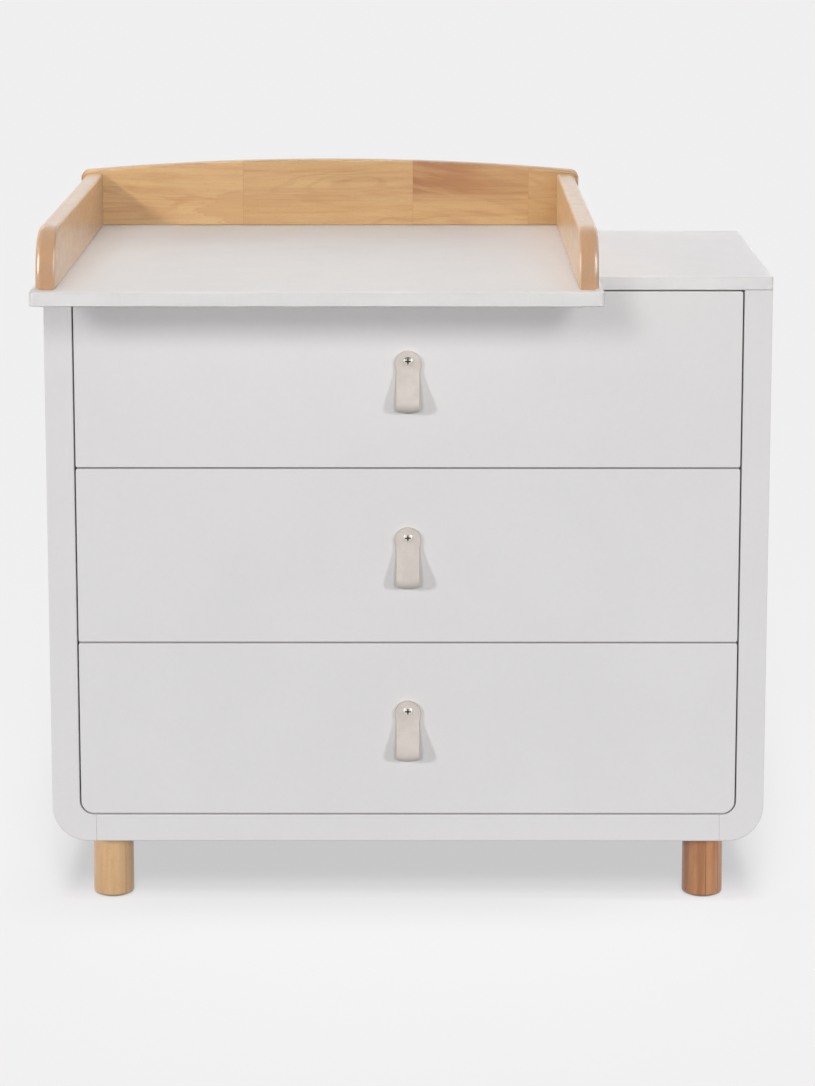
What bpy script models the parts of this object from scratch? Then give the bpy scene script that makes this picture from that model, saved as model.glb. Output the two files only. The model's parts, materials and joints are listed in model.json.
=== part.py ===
"""Nursery chest of three drawers with a changing top, as separate solids.

Metres, +Z up. The origin is the middle of the whole object's footprint, on the floor.
The drawers face -Y. Every piece is one object; pieces that move hang from an empty:
one for each drawer, and one for each drawer's pair of middle runner rails.
"""
from math import cos, radians, sin, sqrt

import bmesh
import bpy
from mathutils import Matrix, Vector

# ---------------------------------------------------------------- driving sizes
CHEST_WIDTH = 0.960
CHEST_DEPTH = 0.480
CHEST_HEIGHT = 0.863
TOP_THICKNESS = 0.018
WALL = 0.037                # side panels and bottom panel
LEG_LENGTH = 0.092          # chest's underside to the floor, glide included
OUTER_CORNER = 0.049        # rounded lower corners of the carcass
INNER_CORNER = 0.019
SEAM_FROM_SIDE = 0.059      # where the side's curved foot meets the bottom panel
DRAWER_COUNT = 3
DRAWER_NAMES = ("bottom", "middle", "top")
FRONT_GAP = 0.002           # shadow line round every drawer front
CHANGER_WIDTH = 0.710
CHANGER_INSET = 0.013       # changer's left edge from the chest's left side
CHANGER_OVERHANG = 0.274    # changer's front edge, forward of the drawer fronts
CHANGER_DEPTH = 0.694
TRAVEL = 0.400              # full-extension runners

# ---------------------------------------------------------------- other sizes
FIT = 0.0003                # gap between pieces that touch
EASE = 0.0015               # softened edges of painted board
FRONT_THICKNESS = 0.018
FRONT_EASE = 0.0015
BACK_THICKNESS = 0.005
REBATE = 0.010              # how far the back panel laps onto the carcass
REBATE_DEPTH = 0.006
CROSS_RAIL_DEPTH = 0.060
CROSS_RAIL_THICKNESS = 0.018

LEG_RADIUS = 0.0275
LEG_SETBACK = 0.063         # leg's axis from the chest's front and back
LEG_FROM_CENTRE = 0.404
LEG_EASE = 0.002
GLIDE_RADIUS = 0.021
GLIDE_THICKNESS = 0.0015

RUNNER_WIDTH = 0.0127
RUNNER_LENGTH = 0.400
RUNNER_SETBACK = 0.020
STEEL = 0.0012
RUNNER_HEIGHT = 0.110       # runner's middle above the lower edge of the drawer front

BOX_THICKNESS = 0.012
BOX_LENGTH = 0.420
BOX_LOW = 0.025             # drawer side's lower edge above the front's lower edge
BOX_HIGH = 0.195
BOX_BOTTOM_THICKNESS = 0.005
BOX_BOTTOM_UP = 0.010       # bottom panel above the drawer side's lower edge
GROOVE = 0.006

BOARD_THICKNESS = 0.018
BOARD_CORNER = 0.006
BOARD_EASE = 0.003
RAIL_THICKNESS = 0.025
RAIL_HEIGHT = 0.074
RAIL_NOSE = 0.060           # quarter-round front end of a side rail
RAIL_SIDE_INSET = 0.006
RAIL_FRONT_INSET = 0.019
RAIL_EASE = 0.003
BACK_RAIL_END_HEIGHT = 0.079
BACK_RAIL_CROWN = 0.015     # rise of the arched top edge
BACK_RAIL_CORNER = 0.010
BRACKET_WIDTH = 0.040
BRACKET_STEEL = 0.002
BRACKET_UP = 0.055
BRACKET_BACK = 0.045
BRACKET_HOLE = 0.0023
BRACKET_FROM_END = 0.110

PULL_SCREW_DROP = 0.092     # pull screw below the drawer front's upper edge
PULL_TOP = 0.0135           # strap's round end above the screw
PULL_HALF_WIDTH = 0.0175     # of the round end
PULL_NECK_HALF_WIDTH = 0.0156   # of the strap below it
PULL_NECK_DROP = 0.012      # from the round end's centre to where the strap is at its neck width
PULL_DROP = 0.068          # strap's fold below the screw
PULL_STAND_OFF = 0.0225
STRAP = 0.0026              # leather thickness
SCREW_HEAD_RADIUS = 0.006
SCREW_HEAD_HEIGHT = 0.0026
SCREW_RADIUS = 0.002
SCREW_LENGTH = 0.020
SCREW_HOLE = 0.0023
SCREW_HOLE_DEPTH = 0.0165   # into the drawer front

# ---------------------------------------------------------------- derived places
TOTAL_DEPTH = CHANGER_OVERHANG + CHEST_DEPTH
FRONT_Y = -TOTAL_DEPTH / 2 + CHANGER_OVERHANG       # plane of the drawer fronts
BACK_Y = TOTAL_DEPTH / 2
HALF_WIDTH = CHEST_WIDTH / 2
HALF_CAVITY = HALF_WIDTH - WALL
FLOOR_Z = LEG_LENGTH + WALL                         # cavity's floor
CEILING_Z = CHEST_HEIGHT - TOP_THICKNESS            # cavity's ceiling
FRONT_PITCH = (CEILING_Z - FLOOR_Z - FRONT_GAP) / DRAWER_COUNT
FRONT_HEIGHT = FRONT_PITCH - FRONT_GAP
FRONT_WIDTH = 2 * (HALF_CAVITY - FRONT_GAP)
HALF_BOX = HALF_CAVITY - RUNNER_WIDTH - 2 * FIT
CHANGER_LEFT = -HALF_WIDTH + CHANGER_INSET
CHANGER_RIGHT = CHANGER_LEFT + CHANGER_WIDTH
CHANGER_FRONT = FRONT_Y - CHANGER_OVERHANG
CHANGER_BACK = CHANGER_FRONT + CHANGER_DEPTH
BOARD_TOP = CHEST_HEIGHT + FIT + BOARD_THICKNESS


# ---------------------------------------------------------------- scene and materials
def clear_scene():
    for obj in list(bpy.data.objects):
        bpy.data.objects.remove(obj)


def new_collection(name, hidden=False):
    collection = bpy.data.collections.new(name)
    collection.hide_render = hidden
    bpy.context.scene.collection.children.link(collection)
    return collection


def make_material(name, colour, roughness, metallic=0.0):
    material = bpy.data.materials.new(name)
    material.use_nodes = True
    shader = material.node_tree.nodes["Principled BSDF"]
    shader.inputs["Base Color"].default_value = (*colour, 1.0)
    shader.inputs["Roughness"].default_value = roughness
    shader.inputs["Metallic"].default_value = metallic
    return material


clear_scene()
PIECES = new_collection("changing_table")
CUTTERS = new_collection("cutters", hidden=True)
WHITE = make_material("white_lacquer", (0.80, 0.80, 0.79), 0.45)
INNER = make_material("drawer_board", (0.78, 0.77, 0.75), 0.6)
WOOD = make_material("rubberwood", (0.70, 0.47, 0.27), 0.4)
LEG_WOOD = make_material("leg_wood", (0.58, 0.36, 0.19), 0.45)
LEATHER = make_material("pale_leather", (0.72, 0.67, 0.62), 0.6)
ZINC = make_material("zinc_steel", (0.75, 0.75, 0.76), 0.3, 1.0)
FELT = make_material("felt", (0.20, 0.19, 0.18), 0.95)


# ---------------------------------------------------------------- building blocks
def place(obj, name, material, parent=None, collection=PIECES):
    """Names the object, gives it its material and hangs it from an empty, whose frame it is in."""
    obj.data.transform(obj.matrix_basis)
    obj.matrix_basis = Matrix()
    obj.name = name
    obj.data.name = name
    obj.data.materials.clear()
    if material:
        obj.data.materials.append(material)
    for owner in list(obj.users_collection):
        owner.objects.unlink(obj)
    collection.objects.link(obj)
    obj.parent = parent
    if collection is CUTTERS:
        obj.hide_render = True
        obj.display_type = "WIRE"
    return obj


def ease_edges(obj, width, sharp=None, segments=2):
    """Rounds every sharp edge but those whose middle sharp() says lie in a joint."""
    marked = bmesh.new()
    marked.from_mesh(obj.data)
    weight = marked.edges.layers.float.new("bevel_weight_edge")
    for edge in marked.edges:
        middle = (edge.verts[0].co + edge.verts[1].co) / 2
        if edge.calc_face_angle(0.0) > radians(40) and not (sharp and sharp(middle)):
            edge[weight] = 1.0
    marked.to_mesh(obj.data)
    marked.free()
    bevel = obj.modifiers.new("ease", "BEVEL")
    bevel.width = width
    bevel.segments = segments
    bevel.limit_method = "WEIGHT"


def block(name, low, high, material, parent=None, ease=0.0, sharp=None, collection=PIECES):
    """A box between two corners, with its edges softened."""
    low, high = Vector(low), Vector(high)
    bpy.ops.mesh.primitive_cube_add(size=1, location=(low + high) / 2)
    obj = bpy.context.object
    obj.scale = high - low
    bpy.ops.object.transform_apply(location=False, rotation=False, scale=True)
    place(obj, name, material, parent, collection)
    if ease:
        ease_edges(obj, ease, sharp)
    return obj


def cylinder(name, centre, radius, length, material, parent=None, axis="Z", sides=32,
             collection=PIECES):
    turn = {"X": (0, radians(90), 0), "Y": (radians(90), 0, 0), "Z": (0, 0, 0)}[axis]
    bpy.ops.mesh.primitive_cylinder_add(vertices=sides, radius=radius, depth=length,
                                        location=centre, rotation=turn)
    return place(bpy.context.object, name, material, parent, collection)


def cut(obj, cutter, operation="DIFFERENCE"):
    boolean = obj.modifiers.new("cut_" + cutter.name, "BOOLEAN")
    boolean.operation = operation
    boolean.object = cutter


def arc(centre, radius, start, end, steps=8):
    """Points along a circular arc, angles in degrees, both ends included."""
    turns = [radians(start + (end - start) * i / steps) for i in range(steps + 1)]
    return [(centre[0] + radius * cos(t), centre[1] + radius * sin(t)) for t in turns]


def rounded_rectangle(left, right, low, high, radii):
    """Corner radii run from the lower left one, anticlockwise. A radius of 0 is a plain corner."""
    corners = ((left, low, 1, 1, 180), (right, low, -1, 1, 270),
               (right, high, -1, -1, 0), (left, high, 1, -1, 90))
    points = []
    for (x, y, inward_x, inward_y, start), radius in zip(corners, radii):
        centre = (x + inward_x * radius, y + inward_y * radius)
        points += arc(centre, radius, start, start + 90) if radius else [(x, y)]
    return points


# A prism's outline is (x, z) when it is extruded along Y, (y, z) along X, and (x, y) along Z.
PRISM_TURN = {"X": (radians(90), 0, radians(90)), "Y": (radians(90), 0, 0), "Z": (0, 0, 0)}


def curve_to_mesh(curve, turn, centre, whole_caps=False):
    """The filled, extruded curve as a closed mesh object, each cap one face if asked."""
    guide = bpy.data.objects.new("guide", curve)
    bpy.context.scene.collection.objects.link(guide)
    guide.rotation_euler = turn
    guide.location = centre
    bpy.context.view_layer.update()
    evaluated = guide.evaluated_get(bpy.context.evaluated_depsgraph_get())
    mesh = bpy.data.meshes.new_from_object(evaluated)
    welded = bmesh.new()
    welded.from_mesh(mesh)
    bmesh.ops.remove_doubles(welded, verts=welded.verts, dist=1e-6)
    if whole_caps:
        bmesh.ops.dissolve_limit(welded, angle_limit=radians(0.02), verts=welded.verts,
                                 edges=welded.edges)
    bmesh.ops.recalc_face_normals(welded, faces=welded.faces)
    welded.to_mesh(mesh)
    welded.free()
    obj = bpy.data.objects.new("prism", mesh)
    bpy.context.scene.collection.objects.link(obj)
    obj.matrix_world = guide.matrix_world
    bpy.data.objects.remove(guide)
    return obj


def flat_curve(half_thickness):
    curve = bpy.data.curves.new("outline", "CURVE")
    curve.dimensions = "2D"
    curve.fill_mode = "BOTH"
    curve.extrude = half_thickness
    return curve


def prism(name, outline, axis, low, high, material, parent=None, ease=0.0, sharp=None,
          collection=PIECES):
    """An outline extruded along an axis, from low to high."""
    curve = flat_curve((high - low) / 2)
    spline = curve.splines.new("POLY")
    spline.points.add(len(outline) - 1)
    for point, (a, b) in zip(spline.points, outline):
        point.co = (a, b, 0, 1)
    spline.use_cyclic_u = True
    centre = Vector((axis == "X", axis == "Y", axis == "Z")) * (low + high) / 2
    solid = curve_to_mesh(curve, PRISM_TURN[axis], centre, whole_caps=True)
    obj = place(solid, name, material, parent, collection)
    if ease:
        ease_edges(obj, ease, sharp)
    return obj


def empty(name, location):
    obj = bpy.data.objects.new(name, None)
    obj.location = location
    PIECES.objects.link(obj)
    return obj


# ---------------------------------------------------------------- carcass
def side_outline(side):
    """Front view of a side panel: a straight wall that turns into a short curved foot."""
    outer, inner = HALF_WIDTH, HALF_CAVITY
    seam = outer - SEAM_FROM_SIDE - FIT / 2
    high = CEILING_Z - FIT / 2
    outline = [(outer, high), (inner, high)]
    outline += arc((inner - INNER_CORNER, FLOOR_Z + INNER_CORNER), INNER_CORNER, 0, -90)
    outline += [(seam, FLOOR_Z), (seam, LEG_LENGTH)]
    outline += arc((outer - OUTER_CORNER, LEG_LENGTH + OUTER_CORNER), OUTER_CORNER, -90, 0, 12)
    return [(side * x, z) for x, z in outline]


def make_carcass():
    rebate = block("back_rebate",
                   (-HALF_CAVITY - REBATE, BACK_Y - REBATE_DEPTH, FLOOR_Z - REBATE),
                   (HALF_CAVITY + REBATE, BACK_Y + REBATE, CEILING_Z + REBATE),
                   None, collection=CUTTERS)
    seam = HALF_WIDTH - SEAM_FROM_SIDE - FIT / 2
    close = 2 * FIT

    def in_side_joint(at):
        return abs(at.z - CEILING_Z) < close or abs(abs(at.x) - seam) < close

    for side, word in ((-1, "left"), (1, "right")):
        panel = prism(word + "_side_panel", side_outline(side), "Y", FRONT_Y, BACK_Y, WHITE,
                      ease=EASE, sharp=in_side_joint)
        cut(panel, rebate)
    bottom = block("bottom_panel", (-seam, FRONT_Y, LEG_LENGTH), (seam, BACK_Y, FLOOR_Z), WHITE,
                   ease=EASE, sharp=lambda at: abs(abs(at.x) - seam) < close)
    top = block("top_panel", (-HALF_WIDTH, FRONT_Y, CEILING_Z + FIT / 2),
                (HALF_WIDTH, BACK_Y, CHEST_HEIGHT), WHITE,
                ease=EASE, sharp=lambda at: abs(at.z - CEILING_Z) < close)
    cut(bottom, rebate)
    cut(top, rebate)
    lap = REBATE - 2 * FIT
    back_low = BACK_Y - REBATE_DEPTH + FIT
    block("back_panel", (-HALF_CAVITY - lap, back_low, FLOOR_Z - lap),
          (HALF_CAVITY + lap, back_low + BACK_THICKNESS, CEILING_Z + lap), WHITE)


def make_cross_rails():
    """Two rails behind the shadow lines tie the sides together between the drawers."""
    for number, word in ((1, "lower"), (2, "upper")):
        middle = FLOOR_Z + number * FRONT_PITCH + FRONT_GAP / 2
        front = FRONT_Y + FRONT_THICKNESS + FRONT_GAP
        block(word + "_cross_rail",
              (-HALF_CAVITY + FIT, front, middle - CROSS_RAIL_THICKNESS / 2),
              (HALF_CAVITY - FIT, front + CROSS_RAIL_DEPTH, middle + CROSS_RAIL_THICKNESS / 2),
              WHITE, ease=EASE)


def make_legs():
    for side, side_word in ((-1, "left"), (1, "right")):
        for y, row_word in ((FRONT_Y + LEG_SETBACK, "front"), (BACK_Y - LEG_SETBACK, "rear")):
            x = side * LEG_FROM_CENTRE
            word = row_word + "_" + side_word
            low, high = GLIDE_THICKNESS + FIT, LEG_LENGTH - FIT
            leg = cylinder(word + "_leg", (x, y, (low + high) / 2), LEG_RADIUS, high - low,
                           LEG_WOOD)
            ease_edges(leg, LEG_EASE)
            leg.data.shade_smooth()
            leg.data.set_sharp_from_angle(angle=radians(40))
            cylinder(word + "_glide", (x, y, GLIDE_THICKNESS / 2), GLIDE_RADIUS,
                     GLIDE_THICKNESS, FELT)


# ---------------------------------------------------------------- runners
def channel(web, lips, half_height):
    """Section of a rolled steel channel whose web is at x = web and whose flanges end at x = lips."""
    wall = STEEL if lips > web else -STEEL
    low, high = -half_height, half_height
    return [(web, low), (lips, low), (lips, low + STEEL), (web + wall, low + STEEL),
            (web + wall, high - STEEL), (lips, high - STEEL), (lips, high), (web, high)]


# Each rail of a runner, as distances in from the carcass wall and half its height.
RUNNER_RAILS = {
    "cabinet_rail": (0.0, 0.0105, 0.0225),
    "middle_rail": (0.0024, 0.0112, 0.0185),
    "drawer_rail": (RUNNER_WIDTH, 0.0052, 0.0145),
}


def runner_rail(name, rail, side, height, parent):
    """One rail of a runner. Its frame's origin is on the plane of the drawer fronts."""
    web, lips, half_height = RUNNER_RAILS[rail]
    wall = HALF_CAVITY - FIT
    outline = [(side * (wall - x), z + height) for x, z in channel(web, lips, half_height)]
    return prism(name, outline, "Y", RUNNER_SETBACK, RUNNER_SETBACK + RUNNER_LENGTH, ZINC, parent)


# ---------------------------------------------------------------- drawers
def pull_loop():
    """The folded strap before its outline is trimmed: a hanging loop in side view."""
    curve = flat_curve(PULL_HALF_WIDTH + STRAP)
    curve.resolution_u = 6
    layers = 2 * STRAP
    belly, fold = PULL_STAND_OFF, PULL_DROP
    # Knots: depth from the drawer front, height from the screw, and the handle's half length,
    # pointing along the curve as it runs down the front layer and back up behind.
    outer = ((FIT + layers, PULL_TOP + STRAP, 0, -0.002), (FIT + layers, -0.004, 0, -0.020),
             (belly, -fold + 0.0125, 0, -0.0065), (belly / 2, -fold, -0.0062, 0),
             (FIT, -fold + 0.0115, 0, 0.0060), (FIT, PULL_TOP + STRAP, 0, 0.002))
    inner = ((FIT + STRAP, -0.012, 0.0006, -0.003),
             (belly - STRAP, -fold + 0.0125, 0, -0.0050),
             (belly / 2, -fold + STRAP, -0.0045, 0),
             (FIT + STRAP, -fold + 0.0115, 0, 0.0045))
    for knots in (outer, inner):
        spline = curve.splines.new("BEZIER")
        spline.bezier_points.add(len(knots) - 1)
        for point, (depth, height, along, up) in zip(spline.bezier_points, knots):
            at, handle = Vector((-depth, height, 0)), Vector((-along, up, 0))
            point.co = at
            point.handle_left = at - handle
            point.handle_right = at + handle
        spline.use_cyclic_u = True
    return curve_to_mesh(curve, PRISM_TURN["X"], (0, 0, 0))


def make_pull(name, drawer, screw_height):
    """A folded leather strap, round at the top, hanging from one screw."""
    strap = place(pull_loop(), name, LEATHER, drawer)
    strap.location = (0, 0, screw_height)
    top, bottom = PULL_TOP, -PULL_DROP - STRAP
    centre = (0, top - PULL_HALF_WIDTH)
    outline = arc(centre, PULL_HALF_WIDTH, 0, 180, 16)
    neck = centre[1] - PULL_NECK_DROP
    outline += [(-PULL_NECK_HALF_WIDTH, neck), (-PULL_NECK_HALF_WIDTH, bottom),
                (PULL_NECK_HALF_WIDTH, bottom), (PULL_NECK_HALF_WIDTH, neck)]
    outline = [(x, z + screw_height) for x, z in outline]
    trim = prism(name + "_trim", outline, "Y", -2 * PULL_STAND_OFF, PULL_STAND_OFF, None,
                 drawer, collection=CUTTERS)
    cut(strap, trim, "INTERSECT")
    return strap


def make_pull_screw(name, drawer, screw_height):
    """Pan-head cross screw, turned about its own Z, which then points out of the drawer front."""
    face = FIT + 2 * STRAP + FIT
    dome = sqrt(SCREW_HEAD_RADIUS ** 2 + (2 * SCREW_HEAD_HEIGHT) ** 2)
    profile = [(0, SCREW_HEAD_HEIGHT)]
    for i in range(1, 6):
        radius = SCREW_HEAD_RADIUS * i / 5
        fall = dome - sqrt(dome ** 2 - radius ** 2)
        profile.append((radius, SCREW_HEAD_HEIGHT - fall * 0.9))
    profile += [(SCREW_HEAD_RADIUS, 0), (SCREW_RADIUS, 0), (SCREW_RADIUS, -SCREW_LENGTH),
                (0, -SCREW_LENGTH)]
    mesh = bpy.data.meshes.new(name)
    edges = [(i, i + 1) for i in range(len(profile) - 1)]
    mesh.from_pydata([(r, 0, h) for r, h in profile], edges, [])
    obj = place(bpy.data.objects.new(name, mesh), name, ZINC, drawer)
    obj.rotation_euler = (radians(90), 0, 0)
    obj.location = (0, -face, screw_height)
    turned = obj.modifiers.new("turn", "SCREW")
    turned.steps = turned.render_steps = 20
    turned.use_merge_vertices = True
    turned.merge_threshold = 1e-5
    reach, slot, sink = 0.0029, 0.0005, 0.0013
    front = -face - SCREW_HEAD_HEIGHT
    for word, half_x, half_z in (("across", reach, slot), ("upright", slot, reach)):
        cutter = block(f"{name}_{word}", (-half_x, front - sink, screw_height - half_z),
                       (half_x, front + sink, screw_height + half_z), None, drawer,
                       collection=CUTTERS)
        cut(obj, cutter)
    return obj


def make_drawer(word, index):
    base = FLOOR_Z + FRONT_GAP + index * FRONT_PITCH
    drawer = empty(word + "_drawer_frame", (0, FRONT_Y, base))
    name = word + "_drawer_"

    half_front = FRONT_WIDTH / 2
    lower = INNER_CORNER - FRONT_GAP if index == 0 else 0.0
    outline = rounded_rectangle(-half_front, half_front, 0, FRONT_HEIGHT,
                                (lower, lower, 0.0, 0.0))
    front = prism(name + "front", outline, "Y", 0, FRONT_THICKNESS, WHITE, drawer,
                  ease=FRONT_EASE)

    start, end = FRONT_THICKNESS + FIT, FRONT_THICKNESS + BOX_LENGTH
    inner = HALF_BOX - BOX_THICKNESS
    floor_low = BOX_LOW + BOX_BOTTOM_UP
    floor_high = floor_low + BOX_BOTTOM_THICKNESS
    groove = block(name + "groove",
                   (-inner - GROOVE, FRONT_THICKNESS - GROOVE, floor_low - FIT),
                   (inner + GROOVE, end + GROOVE, floor_high + FIT),
                   None, drawer, collection=CUTTERS)
    cut(front, groove)
    for side, side_word in ((-1, "left"), (1, "right")):
        across = sorted((side * inner, side * HALF_BOX))
        wall = block(name + side_word + "_side", (across[0], start, BOX_LOW),
                     (across[1], end, BOX_HIGH), INNER, drawer)
        cut(wall, groove)
    block(name + "back", (-inner + FIT, end - BOX_THICKNESS, floor_high + FIT),
          (inner - FIT, end, BOX_HIGH), INNER, drawer)
    lap = GROOVE - FIT
    block(name + "bottom", (-inner - lap, FRONT_THICKNESS - lap, floor_low),
          (inner + lap, end, floor_high), INNER, drawer)

    screw_height = FRONT_HEIGHT - PULL_SCREW_DROP
    pull = make_pull(name + "pull", drawer, screw_height)
    mouth = FIT + 3 * STRAP + FIT
    hole = cylinder(name + "screw_hole", (0, (SCREW_HOLE_DEPTH - mouth) / 2, screw_height),
                    SCREW_HOLE, SCREW_HOLE_DEPTH + mouth, None, drawer, "Y", 16, CUTTERS)
    cut(front, hole)
    cut(pull, hole)
    make_pull_screw(name + "pull_screw", drawer, screw_height)

    middle = empty(word + "_runner_frame", (0, FRONT_Y, base))
    carcass = empty(word + "_runner_seat", (0, FRONT_Y, base))
    owners = {"cabinet_rail": carcass, "middle_rail": middle, "drawer_rail": drawer}
    for rail, owner in owners.items():
        for side, side_word in ((-1, "left"), (1, "right")):
            runner_rail(f"{word}_{side_word}_{rail}", rail, side, RUNNER_HEIGHT, owner)


# ---------------------------------------------------------------- changing top
def side_rail_outline():
    """Side view of a side rail: a bar with a big quarter-round front end."""
    low, high = BOARD_TOP + FIT, BOARD_TOP + FIT + RAIL_HEIGHT
    front = CHANGER_FRONT + RAIL_FRONT_INSET
    back = CHANGER_BACK - RAIL_THICKNESS - FIT
    outline = [(front, low), (back, low), (back, high)]
    return outline + arc((front + RAIL_NOSE, high - RAIL_NOSE), RAIL_NOSE, 90, 180, 12)


def back_rail_outline():
    """Front view of the back rail: straight foot, round shoulders and a gently arched top."""
    low = BOARD_TOP + FIT
    middle = (CHANGER_LEFT + CHANGER_RIGHT) / 2
    half = CHANGER_WIDTH / 2
    shoulder = low + BACK_RAIL_END_HEIGHT - BACK_RAIL_CORNER
    half_chord = half - BACK_RAIL_CORNER
    arch_radius = (half_chord ** 2 + BACK_RAIL_CROWN ** 2) / (2 * BACK_RAIL_CROWN)
    arch_centre = low + BACK_RAIL_END_HEIGHT + BACK_RAIL_CROWN - arch_radius
    outline = [(-half, low), (half, low)]
    outline += arc((half_chord, shoulder), BACK_RAIL_CORNER, 0, 84, 6)
    arch_steps = 20
    for i in range(arch_steps + 1):
        x = half_chord * (1 - 2 * i / arch_steps)
        outline.append((x, arch_centre + sqrt(arch_radius ** 2 - x ** 2)))
    outline += arc((-half_chord, shoulder), BACK_RAIL_CORNER, 96, 180, 6)
    return [(middle + x, z) for x, z in outline]


def make_changer():
    outline = rounded_rectangle(CHANGER_LEFT, CHANGER_RIGHT, CHANGER_FRONT, CHANGER_BACK,
                                (BOARD_CORNER,) * 4)
    prism("changer_board", outline, "Z", CHEST_HEIGHT + FIT, BOARD_TOP, WHITE, ease=BOARD_EASE)
    inset, thickness = RAIL_SIDE_INSET, RAIL_THICKNESS
    foot, butt = BOARD_TOP + 2 * FIT, CHANGER_BACK - thickness - 2 * FIT

    def in_rail_joint(at):
        return at.z < foot or at.y > butt

    for word, near in (("left", CHANGER_LEFT + inset), ("right", CHANGER_RIGHT - inset - thickness)):
        prism(f"changer_{word}_rail", side_rail_outline(), "X", near, near + thickness, WOOD,
              ease=RAIL_EASE, sharp=in_rail_joint)
    prism("changer_back_rail", back_rail_outline(), "Y", CHANGER_BACK - thickness, CHANGER_BACK,
          WOOD, ease=RAIL_EASE, sharp=lambda at: at.z < foot)


def make_bracket(word, x):
    """Steel angle that holds the changer's rear edge down on the chest's top."""
    near, foot = CHANGER_BACK + FIT, CHEST_HEIGHT + FIT
    steel = BRACKET_STEEL
    outline = [(near, foot), (near + BRACKET_BACK, foot), (near + BRACKET_BACK, foot + steel),
               (near + steel, foot + steel), (near + steel, foot + BRACKET_UP),
               (near, foot + BRACKET_UP)]
    half = BRACKET_WIDTH / 2
    bracket = prism(word + "_changer_bracket", outline, "X", x - half, x + half, ZINC)
    for number, offset in enumerate((-half / 2, half / 2), 1):
        upright = cylinder(f"{word}_bracket_hole_{number}",
                           (x + offset, near, foot + BRACKET_UP - half / 2), BRACKET_HOLE,
                           4 * BRACKET_WIDTH, None, axis="Y", sides=16, collection=CUTTERS)
        flat = cylinder(f"{word}_bracket_foot_hole_{number}",
                        (x + offset, near + BRACKET_BACK - half / 2, foot), BRACKET_HOLE,
                        8 * steel, None, axis="Z", sides=16, collection=CUTTERS)
        cut(bracket, upright)
        cut(bracket, flat)


make_carcass()
make_cross_rails()
make_legs()
for drawer_index, drawer_word in enumerate(DRAWER_NAMES):
    make_drawer(drawer_word, drawer_index)
make_changer()
make_bracket("left", CHANGER_LEFT + BRACKET_FROM_END)
make_bracket("right", CHANGER_RIGHT - BRACKET_FROM_END)
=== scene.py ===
import json
from math import cos, pi, radians, sin, sqrt

import bmesh
import bpy
from mathutils import Matrix, Vector

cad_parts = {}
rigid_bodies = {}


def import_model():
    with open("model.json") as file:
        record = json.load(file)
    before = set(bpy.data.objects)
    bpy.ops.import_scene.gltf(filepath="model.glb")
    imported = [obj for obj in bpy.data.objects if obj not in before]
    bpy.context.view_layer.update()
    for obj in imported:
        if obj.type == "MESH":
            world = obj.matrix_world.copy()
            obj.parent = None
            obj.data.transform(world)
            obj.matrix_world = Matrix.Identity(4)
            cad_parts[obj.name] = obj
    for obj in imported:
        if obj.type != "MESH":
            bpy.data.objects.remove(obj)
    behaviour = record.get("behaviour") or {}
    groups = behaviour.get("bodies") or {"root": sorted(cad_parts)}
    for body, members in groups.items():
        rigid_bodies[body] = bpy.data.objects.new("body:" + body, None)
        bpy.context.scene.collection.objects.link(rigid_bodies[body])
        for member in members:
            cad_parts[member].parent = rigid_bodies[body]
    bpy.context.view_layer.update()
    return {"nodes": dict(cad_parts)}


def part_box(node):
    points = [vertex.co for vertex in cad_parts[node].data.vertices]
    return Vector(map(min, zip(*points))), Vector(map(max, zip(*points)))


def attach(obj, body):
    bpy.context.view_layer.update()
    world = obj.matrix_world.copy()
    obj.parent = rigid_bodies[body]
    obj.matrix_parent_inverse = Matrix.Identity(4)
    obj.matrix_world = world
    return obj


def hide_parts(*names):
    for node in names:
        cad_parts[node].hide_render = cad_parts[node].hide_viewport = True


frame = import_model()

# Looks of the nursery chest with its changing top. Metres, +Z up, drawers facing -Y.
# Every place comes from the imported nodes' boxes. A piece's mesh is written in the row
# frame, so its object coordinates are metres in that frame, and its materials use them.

DRAWERS = ("bottom", "middle", "top")
SIDES = (("left", -1), ("right", 1))

# ---------------------------------------------------------------- sizes of the finish
FIT = 0.0003            # gap between pieces that touch
EASE = 0.0015           # softened edges of lacquered board
SEAM_EASE = 0.3         # share of that left at the edges of a glued joint
TOP_CORNER = 0.002      # upper corners of the chest's top
OUTER_CORNER = 0.049    # rounded lower corners of the carcass
INNER_CORNER = 0.019
SAWN_EASE = 0.0009      # edges of the drawer boxes and cross rails
FRONT_EASE = 0.0012     # edges of a drawer front
FRONT_CORNER = 0.0026   # small corners of a drawer front
LEG_EASE = 0.0035
SHARP = 38.0            # degrees above which an edge stays crisp

BOARD_EASE = 0.0016     # changing board
BOARD_CORNER = 0.006
RAIL_INNER_EASE = 0.0038    # side rails' edges towards the baby
RAIL_OUTER_EASE = 0.0080    # and away from it
RAIL_NOSE = 0.060       # quarter-round front end of a side rail
FOOT_EASE = 0.0013      # lower edges of the three rails
BACK_RAIL_EASE = 0.0045
BACK_RAIL_CORNER = 0.011
BACK_RAIL_CROWN = 0.015     # rise of the arched top edge
STAVE_JOINTS = (0.326, 0.667, 0.899)    # as shares of the back rail's length
STAVE_ROWS = 0.47       # glue line between its two rows, as a share of its height
BRACKET_STEEL = 0.002
BRACKET_EASE = 0.0004
SCREW_GAP = 0.0001      # under a bracket screw's head

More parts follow.
